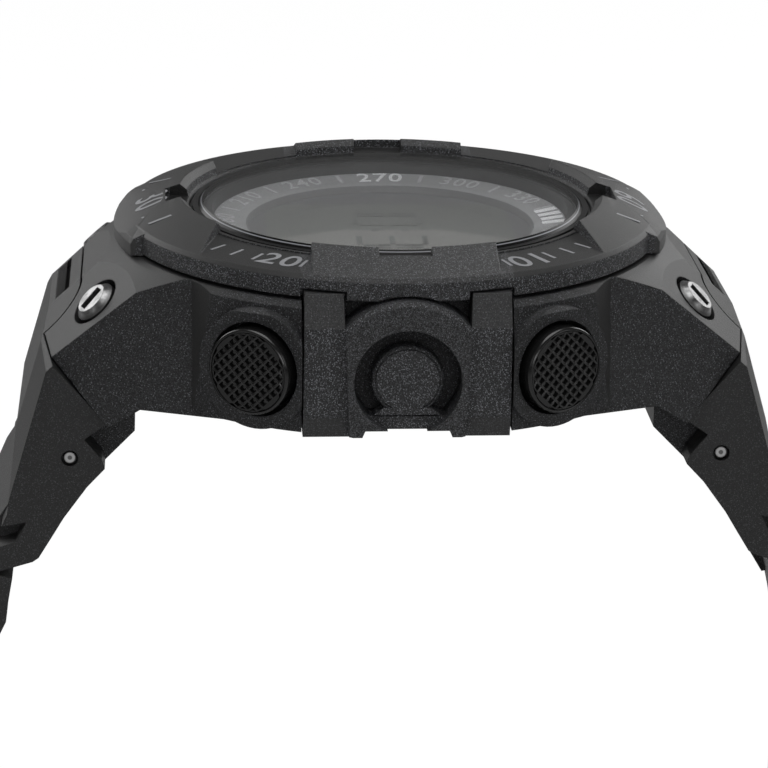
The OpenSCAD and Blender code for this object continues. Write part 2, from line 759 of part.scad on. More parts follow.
module stem_clip(az, z) {
    color([0.75, 0.75, 0.77]) aim(az, z) difference() {
        rod(clip_r, spot_x - 0.05 - clip_t, spot_x - 0.05);
        rod(stem_r - 0.25, stem_end, spot_x + 1);
        translate([stem_end, -0.45, 0]) cube([clip_r + 2, 0.9, clip_r + 2]);
    }
}

module stem_seal(az, z) {
    color([0.08, 0.08, 0.08]) aim(az, z) difference() {
        rod(stem_r + 0.73, cavity_r + 0.75, cavity_r + 1.65);
        rod(stem_r + 0.02, cavity_r, cavity_r + 3);
    }
}

module side_spring(az, z, x2, turns = 4) {
    color([0.7, 0.7, 0.72]) aim(az, z) coil(pocket_x + 0.02, x2 - 0.02, turns);
}

module centre_button() {
    color([0.17, 0.17, 0.18]) aim(0, centre_z) difference() {
        union() {
            rod(centre_r, centre_face - centre_t, centre_face - 0.2);
            taper(centre_r, centre_r - 0.15, centre_face - 0.2, centre_face);
            translate([centre_face - centre_t, 0, 0]) rotate([90, 0, 90]) linear_extrude(centre_t)
                polygon([[-foot_in, foot_top], [foot_in, foot_top], [foot_out, foot_low],
                    [-foot_out, foot_low]]);
            rod(stem_r, stem_end, centre_face - centre_t + 0.5);
        }
        difference() {
            rod(centre_r - 0.22, centre_face - 0.15, centre_face + 1);
            rod(centre_r - 0.36, centre_face - 1, centre_face + 2);
            translate([centre_face - 1, -centre_r, -centre_r - 1]) cube([3, 2 * centre_r, centre_r + 1 + foot_top]);
        }
        difference() {
            rod(stem_r + 1, spot_x - 0.05 - clip_t - 0.02, spot_x - 0.03);
            rod(stem_r - 0.25, stem_end, spot_x + 1);
        }
    }
}

module pusher_2() {
    pusher(pusher_az);
}

module pusher_4() {
    pusher(-pusher_az);
}

module pusher_8() {
    pusher(180 + pusher_az);
}

module pusher_10() {
    pusher(180 - pusher_az);
}

// Places the piece at the short half's bar, with local +Y on outwards along the strap
// and local +Z out of its outer face.
module at_bar() {
    translate([0, bar_c.x, bar_c.y]) rotate([-short_turn - 90, 0, 0]) children();
}

module strap_12() {
    c = band_t / 2;
    color([0.18, 0.18, 0.19]) difference() {
        union() {
            strap_root();
            intersection() {
                along_x(band_w) union() {
                    arc_2d(short_c, short_r, 0, -short_turn, c, c);
                    run_2d(short_p, short_dir, short_run, c, c);
                    translate(bar_c) circle(r = bar_eye);
                    run_2d(short_p + (short_run - 3) * short_dir, short_dir, 3.5, bar_eye - 0.3,
                        bar_eye - 0.3);
                }
                band_width();
            }
        }
        translate([0, bar_c.x, bar_c.y]) rod(bar_r + run_gap, -30, 30);
        at_bar() translate([-tongue_w / 2 - 0.3, -3.4, -10]) cube([tongue_w + 0.6, 12, 20]);
    }
}

module strap_6() {
    c = band_t / 2;
    reach = long_r * PI / 180;
    color([0.18, 0.18, 0.19]) mirror([0, 1, 0]) difference() {
        union() {
            strap_root();
            intersection() {
                along_x(band_w) arc_2d(long_c, long_r, 0, -long_turn, c, c);
                band_width();
            }
        }
        translate([0, long_c.x, long_c.y]) {
            for (i = [0:hole_count - 1]) rotate([-long_turn + (first_hole + i * hole_step) / reach, 0, 0])
                translate([0, long_r - 5, 0]) rotate([-90, 0, 0]) cylinder(h = 10, r = hole_r);
            rotate([-long_turn, 0, 0]) difference() {
                translate([-band_w, long_r - 5, -5]) cube([2 * band_w, 10, 5 + tip_turn_r]);
                translate([0, long_r - 6, tip_turn_r + 0.3]) rotate([-90, 0, 0])
                    cylinder(h = 12, r = tip_turn_r, $fn = 128);
            }
        }
    }
}

module keeper() {
    p = short_p + keeper_at * short_dir;
    w = band_end_w + 2 * side_gap + 0.6;
    h = band_t + 2 * side_gap + loop_room;
    color([0.14, 0.14, 0.15]) translate([0, p.x, p.y]) rotate([-short_turn - 90, 0, 0])
        translate([0, 0, loop_room / 2]) difference() {
            cube([w + 2 * loop_wall, keeper_len, h + 2 * loop_wall], center = true);
            cube([w, keeper_len + 2, h], center = true);
        }
}

module buckle_frame() {
    w = band_end_w / 2 + side_gap;
    color([0.3, 0.3, 0.31]) at_bar() difference() {
        translate([-w - arm_w, -2.2, -frame_t / 2]) cube([2 * (w + arm_w), frame_len + 2.2, frame_t]);
        translate([-w, -5, -5]) cube([2 * w, frame_len + 5 - arm_w - 0.4, 10]);
        rod(bar_r, -w - arm_w + 0.5, w + arm_w - 0.5);
    }
}

module buckle_bar() {
    w = band_end_w / 2 + side_gap;
    color([0.72, 0.72, 0.74]) at_bar() rod(bar_r, -w - arm_w + 0.5, w + arm_w - 0.5);
}

module buckle_tongue() {
    top = frame_t / 2 + 0.1;
    color([0.72, 0.72, 0.74]) at_bar() difference() {
        union() {
            rod(bar_eye - 0.1, -tongue_w / 2, tongue_w / 2);
            rotate([90, 0, 90]) linear_extrude(tongue_w, center = true)
                polygon([[0, 0.4], [bar_eye - 0.2, -0.3], [3.4, top], [frame_len - 0.3, top],
                    [frame_len - 0.3, top + 0.6], [frame_len - 1, top + 1.1], [2.6, top + 1.1],
                    [0, bar_eye - 0.2]]);
        }
        rod(bar_r + run_gap, -5, 5);
    }
}

case_body();
crown_guard();
bezel();
crystal();
crystal_gasket();
dial_ring();
lcd_panel();
lcd_backlight();
lcd_frame();
lcd_connectors();
circuit_board();
switch_contacts();
module_housing();
battery();
battery_clip();
buzzer();
case_back();
case_back_gasket();
case_back_screws();
case_studs();
strap_pin_12();
strap_pin_6();
pusher_2();
pusher_4();
pusher_8();
pusher_10();
centre_button();
stem_clip(pusher_az, pusher_z);  // pusher_clip_2
stem_clip(-pusher_az, pusher_z);  // pusher_clip_4
stem_clip(180 + pusher_az, pusher_z);  // pusher_clip_8
stem_clip(180 - pusher_az, pusher_z);  // pusher_clip_10
stem_clip(0, centre_z);  // centre_clip
side_spring(pusher_az, pusher_z, pusher_face - cap_t);  // pusher_spring_2
side_spring(-pusher_az, pusher_z, pusher_face - cap_t);  // pusher_spring_4
side_spring(180 + pusher_az, pusher_z, pusher_face - cap_t);  // pusher_spring_8
side_spring(180 - pusher_az, pusher_z, pusher_face - cap_t);  // pusher_spring_10
side_spring(0, centre_z, centre_face - centre_t, 2);  // centre_spring
stem_seal(pusher_az, pusher_z);  // pusher_seal_2
stem_seal(-pusher_az, pusher_z);  // pusher_seal_4
stem_seal(180 + pusher_az, pusher_z);  // pusher_seal_8
stem_seal(180 - pusher_az, pusher_z);  // pusher_seal_10
stem_seal(0, centre_z);  // centre_seal
strap_12();
strap_6();
keeper();
buckle_frame();
buckle_bar();
buckle_tongue();
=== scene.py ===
import json
import math

import bmesh
import bpy
from mathutils import Matrix, Vector


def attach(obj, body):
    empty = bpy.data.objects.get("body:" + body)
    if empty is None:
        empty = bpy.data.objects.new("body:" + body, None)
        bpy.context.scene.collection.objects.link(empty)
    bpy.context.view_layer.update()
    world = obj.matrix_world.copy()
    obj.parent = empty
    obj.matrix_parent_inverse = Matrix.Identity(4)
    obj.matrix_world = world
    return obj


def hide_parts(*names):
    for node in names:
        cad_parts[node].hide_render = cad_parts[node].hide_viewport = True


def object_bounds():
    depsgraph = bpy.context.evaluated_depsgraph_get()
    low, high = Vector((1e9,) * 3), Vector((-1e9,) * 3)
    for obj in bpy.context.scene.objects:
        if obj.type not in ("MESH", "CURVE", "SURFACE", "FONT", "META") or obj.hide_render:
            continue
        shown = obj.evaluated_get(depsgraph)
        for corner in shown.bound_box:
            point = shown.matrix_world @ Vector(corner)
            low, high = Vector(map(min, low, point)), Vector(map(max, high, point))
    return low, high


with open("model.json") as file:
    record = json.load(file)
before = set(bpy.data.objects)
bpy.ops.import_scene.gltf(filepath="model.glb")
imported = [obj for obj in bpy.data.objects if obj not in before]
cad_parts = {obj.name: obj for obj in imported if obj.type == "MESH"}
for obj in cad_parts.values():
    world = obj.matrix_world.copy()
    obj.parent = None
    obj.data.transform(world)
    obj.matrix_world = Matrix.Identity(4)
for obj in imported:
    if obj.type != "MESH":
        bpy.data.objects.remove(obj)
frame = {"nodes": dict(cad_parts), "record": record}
cadBounds = [list(corner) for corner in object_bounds()]
nodes = frame["nodes"]
mm = 0.001
print("frame loaded:", len(nodes), "nodes")


# shader maths on sockets
class Socket:
    def __init__(self, graph, socket):
        self.graph = graph
        self.socket = socket

    def maths(self, operation, first, second=0.0):
        return self.graph.node("Math", {"operation": operation}, {0: first, 1: second})

    def __add__(self, other):
        return self.maths("ADD", self, other)

    __radd__ = __add__

    def __sub__(self, other):
        return self.maths("SUBTRACT", self, other)

    def __rsub__(self, other):
        return self.maths("SUBTRACT", other, self)

    def __mul__(self, other):
        return self.maths("MULTIPLY", self, other)

    __rmul__ = __mul__

    def __truediv__(self, other):
        return self.maths("DIVIDE", self, other)

    def __pow__(self, other):
        return self.maths("POWER", self, other)

    def __abs__(self):
        return self.maths("ABSOLUTE", self)

    def larger(self, other):
        return self.maths("MAXIMUM", self, other)

    def limited(self):
        return self.maths("MINIMUM", self.larger(0.0), 1.0)

    # 0 below low, 1 above high, straight between
    def rise(self, low, high):
        return ((self - low) / (high - low)).limited()

    # the same between two places in millimetres
    def between(self, places):
        return self.rise(places[0] * mm, places[1] * mm)

    # 1 from low to high, with soft ends
    def within(self, low, high, soft):
        return self.rise(low - soft, low) * (1 - self.rise(high, high + soft))


class Graph:
    def __init__(self, tree):
        self.tree = tree

    def node(self, kind, settings=None, sockets=None, out=0):
        made = self.tree.nodes.new("ShaderNode" + kind)
        for key, value in (settings or {}).items():
            setattr(made, key, value)
        for key, value in (sockets or {}).items():
            if isinstance(value, Socket):
                self.tree.links.new(value.socket, made.inputs[key])
            else:
                made.inputs[key].default_value = value
        return Socket(self, made.outputs[out])

    def axes(self, vector):
        return [self.node("SeparateXYZ", sockets={0: vector}, out=axis) for axis in range(3)]

    def mixed(self, factor, first, second):
        return self.node("Mix", {"data_type": "RGBA"}, {0: factor, 6: first, 7: second}, 2)


class Finish(Graph):
    def __init__(self, name, roughness=0.5, metallic=0.0, **constants):
        self.material = bpy.data.materials.new(name)
        self.material.use_nodes = True
        super().__init__(self.material.node_tree)
        self.shader = self.tree.nodes["Principled BSDF"]
        self.shader.inputs["Roughness"].default_value = roughness
        self.shader.inputs["Metallic"].default_value = metallic
        for key, value in constants.items():
            self.shader.inputs[key.replace("_", " ")].default_value = value
        self.place = self.node("TexCoord", out="Object")
        self.facing = self.node("TexCoord", out="Normal")

    def noise(self, size, detail=2.0, vector=None):
        return self.node("TexNoise", {}, {"Vector": vector or self.place, "Scale": 1 / size,
                                          "Detail": detail, "Roughness": 0.6})

    # brightness of the glints: one random level for each tiny grain of the surface
    def glints(self, size, share):
        cells = {"Vector": self.place, "Scale": 1 / size}
        level = self.node("SeparateColor", sockets={0: self.node("TexVoronoi", {}, cells, "Color")})
        near = 1 - self.node("TexVoronoi", {}, cells, "Distance").rise(0.2, 0.6)
        return level.rise(1 - share, 1.0) * near

    def set(self, **links):
        for key, value in links.items():
            target = self.shader.inputs[key.replace("_", " ")]
            if isinstance(value, Socket):
                self.tree.links.new(value.socket, target)
            else:
                target.default_value = value
        return self

    # softened edges, then the height map on top
    def relief(self, height, depth, strength=1.0, edge=0.0):
        sockets = {"Height": height, "Distance": depth, "Strength": strength}
        if edge:
            sockets["Normal"] = self.node("Bevel", {"samples": 4}, {"Radius": edge})
        return self.set(Normal=self.node("Bump", {}, sockets))


def grey(level, warm=0.0):
    return (level * (1 + warm), level * (1 + warm / 2), level * (1 - warm), 1.0)


# moulded resin: smooth satin places and grainy places on one part; the last two levels are a painted
# highlight and a painted shade
resin = dict(satin=0.022, hollow=0.0008, peak=0.056, glint=0.28, glintShare=0.3, grainSize=0.1 * mm,
             edge=0.16 * mm, depth=0.09 * mm, paintedLightLevel=0.13, paintedShadeLevel=0.003)


def resinFinish(name, grained, satin=1.0, glint=1.0, hollow=None, paintedLight=None, swell=None):
    finish = Finish(name, Specular_IOR_Level=0.42)
    fine = finish.noise(resin["grainSize"], 3.0)
    spark = finish.glints(resin["grainSize"], resin["glintShare"] * glint)
    mask = grained(finish)
    level = resin["satin"] * satin
    smooth = finish.mixed(fine.rise(0.3, 0.7), grey(level * 0.65), grey(level * 1.35))
    rough = finish.mixed(fine.rise(0.42, 0.7), grey(resin["hollow"]), grey(resin["peak"] * glint, -0.04))
    rough = finish.mixed(spark, rough, grey(resin["glint"] * glint, -0.05))
    colour = finish.mixed(mask, smooth, rough)
    # painted highlight mixed into the colour
    if paintedLight:
        colour = finish.mixed(paintedLight(finish), colour, grey(resin["paintedLightLevel"]))
    # painted shade mixed into the colour of the hollows
    if hollow:
        colour = finish.mixed(hollow(finish), colour, grey(resin["paintedShadeLevel"]))
    finish.set(Base_Color=colour, Roughness=0.44 + 0.1 * fine - 0.08 * spark * mask)
    height = fine * (0.3 + 0.7 * mask) + spark * mask
    if swell:
        height = height + swell(finish) / resin["depth"]
    finish.relief(height, resin["depth"], 0.9, resin["edge"])
    return finish.material


# where the case is grainy: its sides and the pods of the pushers, but not its lugs
caseZone = dict(facing=(0.5, 0.62), pods=(17.5, 18.5), podEnds=(16.5, 17), lugs=(29, 30))


def caseGrain(finish):
    x, y = finish.axes(finish.place)[:2]
    side = abs(finish.axes(finish.facing)[0]).rise(*caseZone["facing"])
    pods = abs(x).between(caseZone["pods"]) * (1 - abs(y).between(caseZone["podEnds"]))
    return side.larger(pods) * (1 - abs(y).between(caseZone["lugs"]))


# the bezel's shape, for its finish and its print, and the places in its finish
bezel = dict(edge=22.6, edgeZ=14.7, pocketRise=0.3 / 5.2, numberR=20.2, numberSize=2.5, tick=(0.26, 1.6),
             domeR=18.0, domeY=13.2, domeZ=-1.2, ridgeR=17.9, ridgeZ=16.1, ridgeFall=0.2917,
             lobeNumber=20.7, lobeSize=2.7, lobeTick=(0.34, 0.8))
bezelZone = dict(facing=(0.25, 0.6), wallEnds=(21.7, 22), sideLobe=(8.4, 8.6), sideShare=0.5,
                 crest=(17.84, 17.96, 0.03), crestZ=(15.9, 16), crestShare=0.7, ends=(17.5, 23.5),
                 endShare=0.24, notch=(2.16, 2.18), notchEnd=(19.02, 19.06), swell=(18.5, 19), soft=0.6)


def bezelGrain(finish):
    up = finish.axes(finish.facing)[2]
    y = finish.axes(finish.place)[1]
    wall = (1 - up.rise(*bezelZone["facing"])) * (1 - abs(y).between(bezelZone["wallEnds"]))
    sideLobe = (1 - abs(y).between(bezelZone["sideLobe"])) * bezelZone["sideShare"]
    return wall.larger(sideLobe)


# painted highlight: the crests of the ridges are painted pale where they catch the light, and the domed
# ends of 12 and 6 o'clock a little, as they face the side lamps
def bezelWear(finish):
    x, y, z = finish.axes(finish.place)
    away = (x * x + y * y) ** 0.5
    crest = away.within(*(value * mm for value in bezelZone["crest"])) * z.between(bezelZone["crestZ"])
    ends = abs(y).between(bezelZone["ends"]) * bezelZone["endShare"]
    return (crest * bezelZone["crestShare"]).larger(ends)


# painted shade: the floors of the notches in the four ridges are painted black, for the shade that lies in
# them
def bezelNotch(finish):
    x, y = (abs(value) for value in finish.axes(finish.place)[:2])
    inside = (1 - x.between(bezelZone["notch"])).larger(1 - y.between(bezelZone["notch"]))
    low = 1 - ((x * x + y * y) ** 0.5).between(bezelZone["notchEnd"])
    return inside * low


# softens the line where the cone of a 12 or 6 o'clock lobe meets its domed fall
def lobeSwell(finish):
    x, y = finish.axes(finish.place)[:2]
    away = (x * x + y * y) ** 0.5
    cone = bezel["ridgeZ"] * mm - (away - bezel["ridgeR"] * mm) * bezel["ridgeFall"]
    under = (bezel["domeR"] * mm) ** 2 - (abs(y) - bezel["domeY"] * mm) ** 2
    fall = under.larger(0.0) ** 0.5 + bezel["domeZ"] * mm
    soft = finish.node("Math", {"operation": "SMOOTH_MIN"}, {0: cone, 1: fall, 2: bezelZone["soft"] * mm})
    return (soft - cone.maths("MINIMUM", cone, fall)) * abs(y).between(bezelZone["swell"])


# the ribs are smooth at their tops and feet, the arch is grainy all over
guardZone = dict(rib=(5.0, 5.1), grainy=(3.3, 10.75, 0.1), smoothShare=0.7)


def guardGrain(finish):
    y, z = finish.axes(finish.place)[1:]
    rib = abs(y).between(guardZone["rib"])
    grainy = z.within(*(value * mm for value in guardZone["grainy"]))
    return 1 - rib * (1 - grainy) * guardZone["smoothShare"]


# the strap is a little grainy on its sides
def strapGrain(finish):
    return abs(finish.axes(finish.facing)[0]).rise(0.6, 0.9) * 0.25


# brushed metal: fine streaks over broad clouds
metal = dict(streak=0.08 * mm, cloud=2.5 * mm, depth=0.008 * mm, edge=0.08 * mm)


def metalFinish(name, level, roughness, warm=0.0):
    finish = Finish(name, metallic=1.0)
    fine = finish.noise(metal["streak"], 3.0)
    broad = finish.noise(metal["cloud"], 2.0)
    finish.set(Base_Color=finish.mixed(broad, grey(level * 0.86, warm), grey(level, warm)),
               Roughness=roughness * (0.75 + 0.5 * fine))
    finish.relief(fine, metal["depth"], 0.5, metal["edge"])
    return finish.material


# bright studs; the slot is painted dark as shade, found by its depth along the stud
stud = dict(centre=(10.0, 25.2, 9.2), axis=(0.2553, 0.6581, 0.7083), slotShade=(0.1, 0.26), slotShadeLevel=0.12,
            flake=0.6 * mm)


def studFinish(name, level):
    finish = Finish(name, metallic=1.0)
    fine = finish.noise(metal["streak"], 3.0)
    x, y, z = finish.axes(finish.place)
    parts = [(abs(value) - centre * mm) * along
             for value, centre, along in zip((x, y, z), stud["centre"], stud["axis"])]
    # painted shade in the slot
    slotShade = 1 - (parts[0] + parts[1] + parts[2]).between(stud["slotShade"])
    flakes = finish.noise(stud["flake"]).rise(0.35, 0.65)
    bright = finish.mixed(flakes, grey(level * 0.55), grey(level * 1.1))
    finish.set(Base_Color=finish.mixed(slotShade, bright, grey(stud["slotShadeLevel"])),
               Roughness=0.24 + 0.12 * fine + 0.12 * slotShade)
    finish.relief(fine, 0.01 * mm, 0.5, 0.1 * mm)
    return finish.material


# strap pins: a bright ring turned in each dull head
pin = dict(y=27.4, z=-3.4, ring=(0.22, 0.4, 0.06))


def pinFinish(name, level):
    finish = Finish(name, metallic=1.0)
    y, z = finish.axes(finish.place)[1:]
    away = ((abs(y) - pin["y"] * mm) ** 2 + (z - pin["z"] * mm) ** 2) ** 0.5
    ring = away.within(*(value * mm for value in pin["ring"]))
    fine = finish.noise(metal["streak"], 3.0)
    finish.set(Base_Color=finish.mixed(ring, grey(level * 0.3), grey(level)),
               Roughness=0.5 - 0.2 * ring + 0.1 * fine)
    finish.relief(fine, metal["depth"], 0.5, metal["edge"])
    return finish.material


# fine rings round the Z axis
def turned(finish):
    x, y, z = finish.axes(finish.place)
    away = (x * x + y * y) ** 0.5
    rings = finish.noise(0.05 * mm, 1.0, finish.node("CombineXYZ", sockets={0: away, 2: z}))
    finish.relief(rings, 0.01 * mm, 0.5, 0.1 * mm)
    return away, rings


def turnedFinish(name, level, roughness):
    finish = Finish(name, metallic=1.0)
    rings = turned(finish)[1]
    finish.set(Base_Color=finish.mixed(rings, grey(level * 0.8), grey(level)),
               Roughness=roughness + 0.2 * rings)
    return finish.material


# case back: a turned steel disc in a dark coated rim
def backFinish(name, level, roughness, disc):
    finish = Finish(name)
    away, rings = turned(finish)
    steel = 1 - away.rise(disc, disc + 0.1 * mm)
    bare = finish.mixed(rings, grey(level * 0.8), grey(level))
    finish.set(Base_Color=finish.mixed(steel, grey(0.02), bare), Metallic=steel,
               Roughness=roughness + 0.2 * rings + 0.1 * (1 - steel))
    return finish.material


def plainFinish(name, colour, roughness, size=0.3 * mm, spread=0.15, edge=0.0, **constants):
    finish = Finish(name, **constants)
    fine = finish.noise(size, 3.0)
    dark = tuple(part * (1 - spread) for part in colour[:3]) + (1.0,)
    finish.set(Base_Color=finish.mixed(fine, dark, colour), Roughness=roughness - 0.05 + 0.1 * fine)
    finish.relief(fine, 0.01 * mm, 0.5, edge)
    return finish.material


# clear through the top; the edge is painted black as shade, with one painted highlight line
crystal = dict(facing=(0.8, 0.95), line=(15.12, 15.17, 0.02), rimShadeLevel=0.004, rimHighlightLevel=0.3)


def glassFinish(name):
    finish = Finish(name, IOR=1.45, Transmission_Weight=1.0)
    edge = 1 - abs(finish.axes(finish.facing)[2]).rise(*crystal["facing"])
    line = finish.axes(finish.place)[2].within(*(value * mm for value in crystal["line"]))
    finish.set(Base_Color=(0.93, 0.94, 0.95, 1.0), Roughness=0.02 * finish.noise(9 * mm))
    # painted shade on the edge, with the painted highlight line in it
    paintedRim = finish.node("BsdfPrincipled", sockets={
        "Base Color": finish.mixed(line, grey(crystal["rimShadeLevel"]), grey(crystal["rimHighlightLevel"], -0.05)),
        "Roughness": 0.3, "Specular IOR Level": 0.12})
    # lamps light the dial straight through the glass
    through = finish.node("LightPath", out="Is Shadow Ray")
    clear = finish.node("BsdfTransparent", sockets={"Color": grey(0.9)})
    glass = Socket(finish, finish.shader.outputs[0])
    whole = finish.node("MixShader", sockets={0: through, 1: glass, 2: clear})
    whole = finish.node("MixShader", sockets={0: edge, 1: whole, 2: paintedRim})
    finish.tree.links.new(whole.socket, finish.tree.nodes["Material Output"].inputs["Surface"])
    return finish.material


# the dial ring is grey on top and black on its outer wall
def dialFinish(name, level):
    finish = Finish(name)
    fine = finish.noise(0.12 * mm, 3.0)
    x, y = finish.axes(finish.place)[:2]
    wall = ((x * x + y * y) ** 0.5).between((15.15, 15.2))
    flat = finish.mixed(fine, grey(level * 0.94), grey(level * 1.06))
    finish.set(Base_Color=finish.mixed(wall, flat, grey(0.01)), Roughness=0.5 + 0.15 * fine)
    finish.relief(fine, 0.01 * mm, 0.5)
    return finish.material


# the side of the display towards 3 o'clock is a little paler and warmer
window = dict(halfX=(8.5, 8.6), halfY=(10.6, 10.7))
nearSide = dict(start=-0.5 * mm, soft=0.8 * mm, flank=4.4 * mm, slope=0.5, share=0.52)


def displayFinish(name, level):
    finish = Finish(name)
    x, y = finish.axes(finish.place)[:2]
    inside = (1 - abs(x).between(window["halfX"])) * (1 - abs(y).between(window["halfY"]))
    towards = x - (abs(y) - nearSide["flank"]).larger(0.0) * nearSide["slope"]
    near = towards.rise(nearSide["start"], nearSide["start"] + nearSide["soft"])
    pixel = finish.noise(0.12 * mm, 1.0)
    pale = finish.mixed(pixel, (level * 0.9, level * 0.93, level * 0.86, 1.0),
                        (level * 1.05, level * 1.08, level, 1.0))
    pale = finish.mixed(near * nearSide["share"], pale, grey(level * 2.0, 0.04))
    finish.set(Base_Color=finish.mixed(inside, grey(level * 0.9), pale), Roughness=0.3 + 0.1 * pixel)
    return finish.material


def boardFinish(name):
    finish = Finish(name)
    tracks = finish.node("TexBrick", {}, {"Vector": finish.place, "Scale": 900.0, "Mortar Size": 0.03,
                                          "Color1": (0.01, 0.1, 0.04, 1), "Color2": (0.015, 0.13, 0.05, 1),
                                          "Mortar": (0.03, 0.25, 0.1, 1)}, "Color")
    finish.set(Base_Color=tracks, Roughness=0.4 + 0.2 * finish.noise(0.4 * mm))
    return finish.material


finishes = {
    "case_resin": resinFinish("caseResin", caseGrain),
    "guard_resin": resinFinish("guardResin", guardGrain, satin=1.2, glint=1.5),
    "bezel_resin": resinFinish("bezelResin", bezelGrain, satin=0.9, glint=1.6, hollow=bezelNotch,
                               paintedLight=bezelWear, swell=lobeSwell),
    "strap_resin": resinFinish("strapResin", strapGrain, satin=0.7),
    "keeper_resin": resinFinish("keeperResin", strapGrain),
    "crystal_glass": glassFinish("crystalGlass"),
    "black_rubber": plainFinish("blackRubber", grey(0.008), 0.3),
    "dial_plastic": dialFinish("dialPlastic", 0.27),
    "lcd_glass": displayFinish("displayGlass", 0.125),
    "backlight_film": plainFinish("backlightFilm", (0.75, 0.82, 0.76, 1.0), 0.4),
    "module_plastic": plainFinish("modulePlastic", grey(0.25), 0.5),
    "zebra_rubber": plainFinish("layeredRubber", (0.7, 0.35, 0.4, 1.0), 0.6, 0.06 * mm, 0.5),
    "board_laminate": boardFinish("boardLaminate"),
    "contact_brass": metalFinish("contactBrass", 0.6, 0.3, warm=0.22),
    "cell_steel": turnedFinish("cellSteel", 0.6, 0.25),
    "back_steel": backFinish("backSteel", 0.5, 0.28, 15.42 * mm),
    "screw_steel": metalFinish("screwSteel", 0.5, 0.3),
    "stud_chrome": studFinish("studMetal", 0.24),
    "pin_steel": pinFinish("pinSteel", 0.5),
    "spring_steel": metalFinish("springSteel", 0.5, 0.3),
    "pusher_gloss": plainFinish("pusherGloss", grey(0.006), 0.2, 0.2 * mm, 0.2, 0.05 * mm),
    "buckle_metal": plainFinish("buckleCoat", grey(0.03), 0.3, 0.1 * mm, 0.3, Metallic=0.6),
}
printPaint = plainFinish("printPaint", grey(0.3, -0.03), 0.5, 0.1 * mm, 0.25)
dialPaint = plainFinish("dialPaint", grey(0.5), 0.6, 0.1 * mm, 0.2)
boldPaint = plainFinish("boldPaint", grey(0.85), 0.6, 0.1 * mm, 0.1)
segmentInk = plainFinish("segmentInk", (0.104, 0.107, 0.1, 1.0), 0.3, 0.1 * mm, 0.1)

slotOf = {entry["node"]: entry["material_slot"] for entry in frame["record"]["subparts"]}
for name, solid in nodes.items():
    solid.data.materials.clear()
    solid.data.materials.append(finishes[slotOf[name]])
print("finishes on the CAD nodes")


# helpers for new pieces
def addPiece(name, shape, finish, body, smooth=False):
    mesh = bpy.data.meshes.new(name)
    shape.to_mesh(mesh)
    shape.free()
    piece = bpy.data.objects.new(name, mesh)
    bpy.context.scene.collection.objects.link(piece)
    mesh.materials.append(finish)
    for face in mesh.polygons:
        face.use_smooth = smooth
    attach(piece, body)
    return piece


# profile holds (along, radius) pairs in millimetres, turned round the X axis
def spunShape(profile, steps=64):
    shape = bmesh.new()
    line = [shape.verts.new((along * mm, radius * mm, 0)) for along, radius in profile]
    edges = [shape.edges.new(pair) for pair in zip(line, line[1:])]
    bmesh.ops.spin(shape, geom=line + edges, cent=(0, 0, 0), axis=(1, 0, 0), angle=math.tau,
                   steps=steps, use_merge=True)
    bmesh.ops.remove_doubles(shape, verts=shape.verts, dist=1e-7)
    bmesh.ops.recalc_face_normals(shape, faces=shape.faces)
    return shape


lettering = dict(capShare=0.7, bolder=0.012, thick=0.012)


# numbers lie in XY, centred, height in millimetres
def textShape(words, height, spacing=1.0):
    curve = bpy.data.curves.new("words", "FONT")
    curve.body = words
    curve.align_x = "CENTER"
    curve.align_y = "CENTER"
    curve.size = height * mm / lettering["capShare"]
    curve.space_character = spacing
    curve.offset = lettering["bolder"] * height * mm
    curve.extrude = lettering["thick"] * mm
    curve.resolution_u = 4
    holder = bpy.data.objects.new("words", curve)
    bpy.context.scene.collection.objects.link(holder)
    bpy.context.view_layer.update()
    depsgraph = bpy.context.evaluated_depsgraph_get()
    mesh = bpy.data.meshes.new_from_object(holder.evaluated_get(depsgraph))
    shape = bmesh.new()
    shape.from_mesh(mesh)
    bpy.data.objects.remove(holder)
    bpy.data.curves.remove(curve)
    bpy.data.meshes.remove(mesh)
    bmesh.ops.remove_doubles(shape, verts=shape.verts, dist=1e-8)
    return shape


def barShape(width, height, thick=0.024):
    shape = bmesh.new()
    bmesh.ops.create_cube(shape, size=1.0, matrix=Matrix.Diagonal((width * mm, height * mm, thick * mm, 1)))
    return shape


def joined(target, part, place=None):
    if place is not None:
        bmesh.ops.transform(part, matrix=place, verts=part.verts)
    mesh = bpy.data.meshes.new("part")
    part.to_mesh(mesh)
    part.free()
    target.from_mesh(mesh)
    bpy.data.meshes.remove(mesh)


# flat x goes round the ring, flat y goes outwards, flat z stands on the surface
def wrapRound(shape, radius, angle, surface, flip=False):
    for vert in shape.verts:
        x, y, z = vert.co
        if flip:
            x, y = -x, -y
        out = radius * mm + y
        turn = math.radians(angle) - x / (radius * mm)
        vert.co = (out * math.cos(turn), out * math.sin(turn), surface(out / mm) * mm + z)
    return shape


# pushers: spun caps with a lattice grip
pusher = dict(height=6.9, face=25.8, gripRadius=3.28, cells=11, cell=0.66, ridge=0.15, node=0.07, pit=0.34,
              spare=0.12, wholeShare=0.45, chamfer=0.02, pitShare=0.35, skirt=0.34, sunk=0.05,
              angles={"2": 29.8, "4": -29.8, "8": 209.8, "10": 150.2})
capProfile = [(15.2, 0), (15.2, 0.85), (15.25, 0.9), (16.23, 0.9), (16.23, 0.65), (16.62, 0.65),
              (16.62, 0.9), (23.5, 0.9), (23.5, 3.45), (23.65, 3.6), (25.5, 3.6), (25.66, 3.57),
              (25.76, 3.49), (25.8, 3.4), (25.78, 3.34), (25.5, 3.28), (25.5, 0)]


